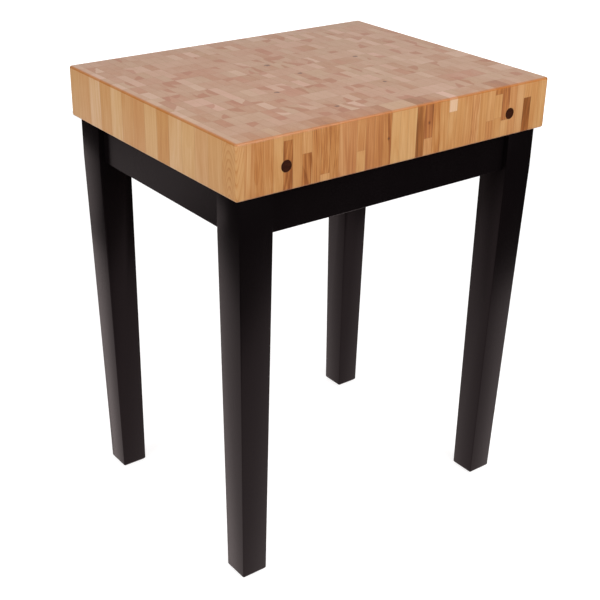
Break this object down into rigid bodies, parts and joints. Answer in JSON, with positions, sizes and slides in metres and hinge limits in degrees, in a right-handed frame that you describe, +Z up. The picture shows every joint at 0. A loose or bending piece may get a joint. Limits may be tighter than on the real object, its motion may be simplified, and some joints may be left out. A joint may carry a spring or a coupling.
{
  "type": "butcher block table",
  "caption": "Thick end-grain maple block with dark plugs over its tie rods, on a black base of tapered square legs and aprons.",
  "frame": {"origin": "on the floor, under the middle of the block", "axes": "+X along the long side, to the right when facing the front; +Y towards the back; +Z up"},
  "size_m": [0.7366, 0.5842, 0.9144],
  "materials": {
    "maple_block": "oiled end grain",
    "walnut_plug": "oiled dark wood",
    "steel": "plain",
    "black_paint": "satin black paint",
    "brace_wood": "bare hardwood",
    "zinc_plate": "bright zinc"
  },
  "bodies": {
    "root": {"block_strip_01": "maple_block", "block_strip_02": "maple_block", "block_strip_03": "maple_block", "block_strip_04": "maple_block", "block_strip_05": "maple_block", "block_strip_06": "maple_block", "block_strip_07": "maple_block", "block_strip_08": "maple_block", "block_strip_09": "maple_block", "block_strip_10": "maple_block", "block_strip_11": "maple_block", "block_strip_12": "maple_block", "block_strip_13": "maple_block", "block_strip_14": "maple_block", "plug_front_left": "walnut_plug", "plug_front_right": "walnut_plug", "plug_back_right": "walnut_plug", "plug_back_left": "walnut_plug", "tie_rod_left": "steel", "tie_rod_right": "steel", "tie_rod_washers": "steel", "tie_rod_nuts": "steel", "leg_front_left": "black_paint", "leg_front_right": "black_paint", "leg_back_right": "black_paint", "leg_back_left": "black_paint", "apron_front": "black_paint", "apron_right": "black_paint", "apron_back": "black_paint", "apron_left": "black_paint", "brace_front_left": "brace_wood", "brace_front_right": "brace_wood", "brace_back_right": "brace_wood", "brace_back_left": "brace_wood", "bracket_front_left": "zinc_plate", "bracket_front_right": "zinc_plate", "bracket_right": "zinc_plate", "bracket_back_right": "zinc_plate", "bracket_back_left": "zinc_plate", "bracket_left": "zinc_plate", "bracket_screws": "zinc_plate", "block_screws": "zinc_plate", "brace_screws": "zinc_plate", "hanger_bolts": "zinc_plate", "hanger_washers": "zinc_plate", "hanger_nuts": "zinc_plate"}
  },
  "joints": []
}
